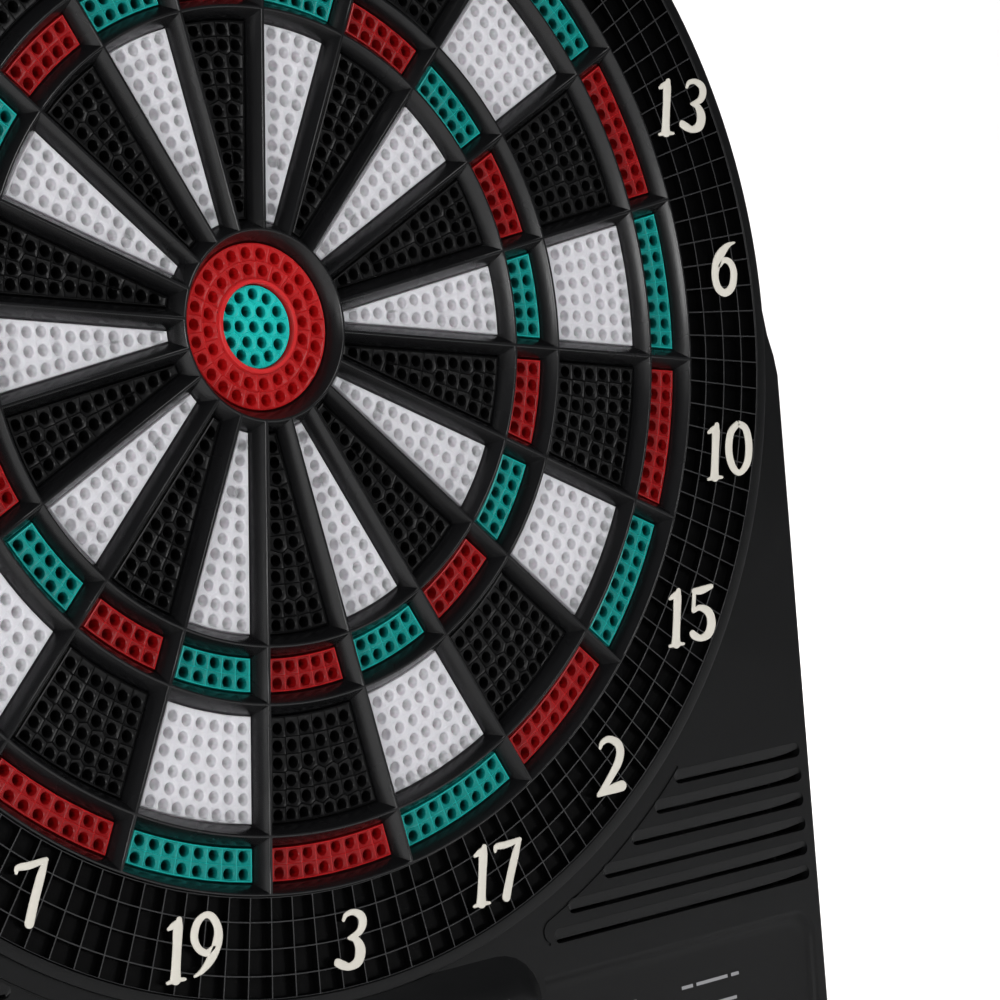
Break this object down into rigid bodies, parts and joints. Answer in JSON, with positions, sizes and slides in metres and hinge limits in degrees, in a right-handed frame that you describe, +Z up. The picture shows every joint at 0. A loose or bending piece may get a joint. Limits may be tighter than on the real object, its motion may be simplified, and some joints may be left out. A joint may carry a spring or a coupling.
{
  "type": "electronic dartboard",
  "caption": "Electronic soft-tip dartboard: round target of sprung scoring segments in a raised spider, number ring, and a lower console with display, push buttons and louvres.",
  "frame": {"origin": "on the bullseye's axis, in the plane of the flat back that lies against the wall", "axes": "+Y into the wall, along the bullseye's axis; +Z up; +X to the right as seen by the player"},
  "size_m": [0.422, 0.0432, 0.5],
  "materials": {
    "housing": "charcoal black moulded ABS with a fine spark texture",
    "spider": "satin black moulded plastic, slightly glossy on the slopes",
    "number_ring": "glossy black cells between thin raised lines, cream raised numerals",
    "black_segment": "black polypropylene with a satin sheen",
    "white_segment": "white translucent polypropylene",
    "red_segment": "deep red satin polypropylene",
    "teal_segment": "teal satin polypropylene",
    "foam_rubber": "grey sponge rubber sheet",
    "sensor_film": "printed polyester switch film",
    "inner_plastic": "plain black plastic",
    "circuit_board": "green solder mask",
    "screen": "grey-green liquid crystal display in a black frame",
    "lens": "clear acrylic window, polished",
    "speaker_metal": "plated steel frame with a dark paper cone",
    "power_key": "red silicone",
    "key_rubber": "grey silicone"
  },
  "bodies": {
    "housing": {"front_housing": "housing", "rear_housing": "housing", "spider": "spider", "number_ring": "number_ring", "return_mat": "foam_rubber", "sensor_membrane": "sensor_film", "backing_plate": "inner_plastic", "main_circuit_board": "circuit_board", "lcd_module": "screen", "display_lens": "lens", "speaker": "speaker_metal", "dc_jack": "inner_plastic"},
    "button_power": {"button_power": "power_key"},
    "button_game": {"button_game": "key_rubber"},
    "button_select": {"button_select": "key_rubber"},
    "button_player": {"button_player": "key_rubber"},
    "button_start": {"button_start": "key_rubber"},
    "battery_door": {"battery_door": "housing"},
    "bull_inner": {"bull_inner": "teal_segment"},
    "bull_outer": {"bull_outer": "red_segment"},
    "double_outer_single_20": {"double_outer_single_20": "black_segment"},
    "treble_inner_single_20": {"treble_inner_single_20": "black_segment"},
    "double_outer_single_1": {"double_outer_single_1": "white_segment"},
    "treble_inner_single_1": {"treble_inner_single_1": "white_segment"},
    "double_outer_single_18": {"double_outer_single_18": "black_segment"},
    "treble_inner_single_18": {"treble_inner_single_18": "black_segment"},
    "double_outer_single_4": {"double_outer_single_4": "white_segment"},
    "treble_inner_single_4": {"treble_inner_single_4": "white_segment"},
    "double_outer_single_13": {"double_outer_single_13": "black_segment"},
    "treble_inner_single_13": {"treble_inner_single_13": "black_segment"},
    "double_outer_single_6": {"double_outer_single_6": "white_segment"},
    "treble_inner_single_6": {"treble_inner_single_6": "white_segment"},
    "double_outer_single_10": {"double_outer_single_10": "black_segment"},
    "treble_inner_single_10": {"treble_inner_single_10": "black_segment"},
    "double_outer_single_15": {"double_outer_single_15": "white_segment"},
    "treble_inner_single_15": {"treble_inner_single_15": "white_segment"},
    "double_outer_single_2": {"double_outer_single_2": "black_segment"},
    "treble_inner_single_2": {"treble_inner_single_2": "black_segment"},
    "double_outer_single_17": {"double_outer_single_17": "white_segment"},
    "treble_inner_single_17": {"treble_inner_single_17": "white_segment"},
    "double_outer_single_3": {"double_outer_single_3": "black_segment"},
    "treble_inner_single_3": {"treble_inner_single_3": "black_segment"},
    "double_outer_single_19": {"double_outer_single_19": "white_segment"},
    "treble_inner_single_19": {"treble_inner_single_19": "white_segment"},
    "double_outer_single_7": {"double_outer_single_7": "black_segment"},
    "treble_inner_single_7": {"treble_inner_single_7": "black_segment"},
    "double_outer_single_16": {"double_outer_single_16": "white_segment"},
    "treble_inner_single_16": {"treble_inner_single_16": "white_segment"},
    "double_outer_single_8": {"double_outer_single_8": "black_segment"},
    "treble_inner_single_8": {"treble_inner_single_8": "black_segment"},
    "double_outer_single_11": {"double_outer_single_11": "white_segment"},
    "treble_inner_single_11": {"treble_inner_single_11": "white_segment"},
    "double_outer_single_14": {"double_outer_single_14": "black_segment"},
    "treble_inner_single_14": {"treble_inner_single_14": "black_segment"},
    "double_outer_single_9": {"double_outer_single_9": "white_segment"},
    "treble_inner_single_9": {"treble_inner_single_9": "white_segment"},
    "double_outer_single_12": {"double_outer_single_12": "black_segment"},
    "treble_inner_single_12": {"treble_inner_single_12": "black_segment"},
    "double_outer_single_5": {"double_outer_single_5": "white_segment"},
    "treble_inner_single_5": {"treble_inner_single_5": "white_segment"}
  },
  "joints": [
    {"name": "press_power", "type": "slide", "parent": "housing", "child": "button_power", "axis": [0, 1, 0], "range_m": [0, 0.001], "stiffness_N_per_m": 250, "springref_m": -0.0008},
    {"name": "press_game", "type": "slide", "parent": "housing", "child": "button_game", "axis": [0, 1, 0], "range_m": [0, 0.001], "stiffness_N_per_m": 250, "springref_m": -0.0008},
    {"name": "press_select", "type": "slide", "parent": "housing", "child": "button_select", "axis": [0, 1, 0], "range_m": [0, 0.001], "stiffness_N_per_m": 250, "springref_m": -0.0008},
    {"name": "press_player", "type": "slide", "parent": "housing", "child": "button_player", "axis": [0, 1, 0], "range_m": [0, 0.001], "stiffness_N_per_m": 250, "springref_m": -0.0008},
    {"name": "press_start", "type": "slide", "parent": "housing", "child": "button_start", "axis": [0, 1, 0], "range_m": [0, 0.001], "stiffness_N_per_m": 250, "springref_m": -0.0008},
    {"name": "battery_door_slide", "type": "slide", "parent": "housing", "child": "battery_door", "axis": [0, 0, -1], "range_m": [0, 0.008]},
    {"name": "press_bull_inner", "type": "slide", "parent": "housing", "child": "bull_inner", "axis": [0, 1, 0], "range_m": [0, 0.0015], "stiffness_N_per_m": 400, "springref_m": -0.001},
    {"name": "press_bull_outer", "type": "slide", "parent": "housing", "child": "bull_outer", "axis": [0, 1, 0], "range_m": [0, 0.0015], "stiffness_N_per_m": 400, "springref_m": -0.001},
    {"name": "press_double_outer_single_20", "type": "slide", "parent": "housing", "child": "double_outer_single_20", "axis": [0, 1, 0], "range_m": [0, 0.0015], "stiffness_N_per_m": 400, "springref_m": -0.001},
    {"name": "press_treble_inner_single_20", "type": "slide", "parent": "housing", "child": "treble_inner_single_20", "axis": [0, 1, 0], "range_m": [0, 0.0015], "stiffness_N_per_m": 400, "springref_m": -0.001},
    {"name": "press_double_outer_single_1", "type": "slide", "parent": "housing", "child": "double_outer_single_1", "axis": [0, 1, 0], "range_m": [0, 0.0015], "stiffness_N_per_m": 400, "springref_m": -0.001},
    {"name": "press_treble_inner_single_1", "type": "slide", "parent": "housing", "child": "treble_inner_single_1", "axis": [0, 1, 0], "range_m": [0, 0.0015], "stiffness_N_per_m": 400, "springref_m": -0.001},
    {"name": "press_double_outer_single_18", "type": "slide", "parent": "housing", "child": "double_outer_single_18", "axis": [0, 1, 0], "range_m": [0, 0.0015], "stiffness_N_per_m": 400, "springref_m": -0.001},
    {"name": "press_treble_inner_single_18", "type": "slide", "parent": "housing", "child": "treble_inner_single_18", "axis": [0, 1, 0], "range_m": [0, 0.0015], "stiffness_N_per_m": 400, "springref_m": -0.001},
    {"name": "press_double_outer_single_4", "type": "slide", "parent": "housing", "child": "double_outer_single_4", "axis": [0, 1, 0], "range_m": [0, 0.0015], "stiffness_N_per_m": 400, "springref_m": -0.001},
    {"name": "press_treble_inner_single_4", "type": "slide", "parent": "housing", "child": "treble_inner_single_4", "axis": [0, 1, 0], "range_m": [0, 0.0015], "stiffness_N_per_m": 400, "springref_m": -0.001},
    {"name": "press_double_outer_single_13", "type": "slide", "parent": "housing", "child": "double_outer_single_13", "axis": [0, 1, 0], "range_m": [0, 0.0015], "stiffness_N_per_m": 400, "springref_m": -0.001},
    {"name": "press_treble_inner_single_13", "type": "slide", "parent": "housing", "child": "treble_inner_single_13", "axis": [0, 1, 0], "range_m": [0, 0.0015], "stiffness_N_per_m": 400, "springref_m": -0.001},
    {"name": "press_double_outer_single_6", "type": "slide", "parent": "housing", "child": "double_outer_single_6", "axis": [0, 1, 0], "range_m": [0, 0.0015], "stiffness_N_per_m": 400, "springref_m": -0.001},
    {"name": "press_treble_inner_single_6", "type": "slide", "parent": "housing", "child": "treble_inner_single_6", "axis": [0, 1, 0], "range_m": [0, 0.0015], "stiffness_N_per_m": 400, "springref_m": -0.001},
    {"name": "press_double_outer_single_10", "type": "slide", "parent": "housing", "child": "double_outer_single_10", "axis": [0, 1, 0], "range_m": [0, 0.0015], "stiffness_N_per_m": 400, "springref_m": -0.001},
    {"name": "press_treble_inner_single_10", "type": "slide", "parent": "housing", "child": "treble_inner_single_10", "axis": [0, 1, 0], "range_m": [0, 0.0015], "stiffness_N_per_m": 400, "springref_m": -0.001},
    {"name": "press_double_outer_single_15", "type": "slide", "parent": "housing", "child": "double_outer_single_15", "axis": [0, 1, 0], "range_m": [0, 0.0015], "stiffness_N_per_m": 400, "springref_m": -0.001},
    {"name": "press_treble_inner_single_15", "type": "slide", "parent": "housing", "child": "treble_inner_single_15", "axis": [0, 1, 0], "range_m": [0, 0.0015], "stiffness_N_per_m": 400, "springref_m": -0.001},
    {"name": "press_double_outer_single_2", "type": "slide", "parent": "housing", "child": "double_outer_single_2", "axis": [0, 1, 0], "range_m": [0, 0.0015], "stiffness_N_per_m": 400, "springref_m": -0.001},
    {"name": "press_treble_inner_single_2", "type": "slide", "parent": "housing", "child": "treble_inner_single_2", "axis": [0, 1, 0], "range_m": [0, 0.0015], "stiffness_N_per_m": 400, "springref_m": -0.001},
    {"name": "press_double_outer_single_17", "type": "slide", "parent": "housing", "child": "double_outer_single_17", "axis": [0, 1, 0], "range_m": [0, 0.0015], "stiffness_N_per_m": 400, "springref_m": -0.001},
    {"name": "press_treble_inner_single_17", "type": "slide", "parent": "housing", "child": "treble_inner_single_17", "axis": [0, 1, 0], "range_m": [0, 0.0015], "stiffness_N_per_m": 400, "springref_m": -0.001},
    {"name": "press_double_outer_single_3", "type": "slide", "parent": "housing", "child": "double_outer_single_3", "axis": [0, 1, 0], "range_m": [0, 0.0015], "stiffness_N_per_m": 400, "springref_m": -0.001},
    {"name": "press_treble_inner_single_3", "type": "slide", "parent": "housing", "child": "treble_inner_single_3", "axis": [0, 1, 0], "range_m": [0, 0.0015], "stiffness_N_per_m": 400, "springref_m": -0.001},
    {"name": "press_double_outer_single_19", "type": "slide", "parent": "housing", "child": "double_outer_single_19", "axis": [0, 1, 0], "range_m": [0, 0.0015], "stiffness_N_per_m": 400, "springref_m": -0.001},
    {"name": "press_treble_inner_single_19", "type": "slide", "parent": "housing", "child": "treble_inner_single_19", "axis": [0, 1, 0], "range_m": [0, 0.0015], "stiffness_N_per_m": 400, "springref_m": -0.001},
    {"name": "press_double_outer_single_7", "type": "slide", "parent": "housing", "child": "double_outer_single_7", "axis": [0, 1, 0], "range_m": [0, 0.0015], "stiffness_N_per_m": 400, "springref_m": -0.001},
    {"name": "press_treble_inner_single_7", "type": "slide", "parent": "housing", "child": "treble_inner_single_7", "axis": [0, 1, 0], "range_m": [0, 0.0015], "stiffness_N_per_m": 400, "springref_m": -0.001},
    {"name": "press_double_outer_single_16", "type": "slide", "parent": "housing", "child": "double_outer_single_16", "axis": [0, 1, 0], "range_m": [0, 0.0015], "stiffness_N_per_m": 400, "springref_m": -0.001},
    {"name": "press_treble_inner_single_16", "type": "slide", "parent": "housing", "child": "treble_inner_single_16", "axis": [0, 1, 0], "range_m": [0, 0.0015], "stiffness_N_per_m": 400, "springref_m": -0.001},
    {"name": "press_double_outer_single_8", "type": "slide", "parent": "housing", "child": "double_outer_single_8", "axis": [0, 1, 0], "range_m": [0, 0.0015], "stiffness_N_per_m": 400, "springref_m": -0.001},
    {"name": "press_treble_inner_single_8", "type": "slide", "parent": "housing", "child": "treble_inner_single_8", "axis": [0, 1, 0], "range_m": [0, 0.0015], "stiffness_N_per_m": 400, "springref_m": -0.001},
    {"name": "press_double_outer_single_11", "type": "slide", "parent": "housing", "child": "double_outer_single_11", "axis": [0, 1, 0], "range_m": [0, 0.0015], "stiffness_N_per_m": 400, "springref_m": -0.001},
    {"name": "press_treble_inner_single_11", "type": "slide", "parent": "housing", "child": "treble_inner_single_11", "axis": [0, 1, 0], "range_m": [0, 0.0015], "stiffness_N_per_m": 400, "springref_m": -0.001},
    {"name": "press_double_outer_single_14", "type": "slide", "parent": "housing", "child": "double_outer_single_14", "axis": [0, 1, 0], "range_m": [0, 0.0015], "stiffness_N_per_m": 400, "springref_m": -0.001},
    {"name": "press_treble_inner_single_14", "type": "slide", "parent": "housing", "child": "treble_inner_single_14", "axis": [0, 1, 0], "range_m": [0, 0.0015], "stiffness_N_per_m": 400, "springref_m": -0.001},
    {"name": "press_double_outer_single_9", "type": "slide", "parent": "housing", "child": "double_outer_single_9", "axis": [0, 1, 0], "range_m": [0, 0.0015], "stiffness_N_per_m": 400, "springref_m": -0.001},
    {"name": "press_treble_inner_single_9", "type": "slide", "parent": "housing", "child": "treble_inner_single_9", "axis": [0, 1, 0], "range_m": [0, 0.0015], "stiffness_N_per_m": 400, "springref_m": -0.001},
    {"name": "press_double_outer_single_12", "type": "slide", "parent": "housing", "child": "double_outer_single_12", "axis": [0, 1, 0], "range_m": [0, 0.0015], "stiffness_N_per_m": 400, "springref_m": -0.001},
    {"name": "press_treble_inner_single_12", "type": "slide", "parent": "housing", "child": "treble_inner_single_12", "axis": [0, 1, 0], "range_m": [0, 0.0015], "stiffness_N_per_m": 400, "springref_m": -0.001},
    {"name": "press_double_outer_single_5", "type": "slide", "parent": "housing", "child": "double_outer_single_5", "axis": [0, 1, 0], "range_m": [0, 0.0015], "stiffness_N_per_m": 400, "springref_m": -0.001},
    {"name": "press_treble_inner_single_5", "type": "slide", "parent": "housing", "child": "treble_inner_single_5", "axis": [0, 1, 0], "range_m": [0, 0.0015], "stiffness_N_per_m": 400, "springref_m": -0.001}
  ]
}
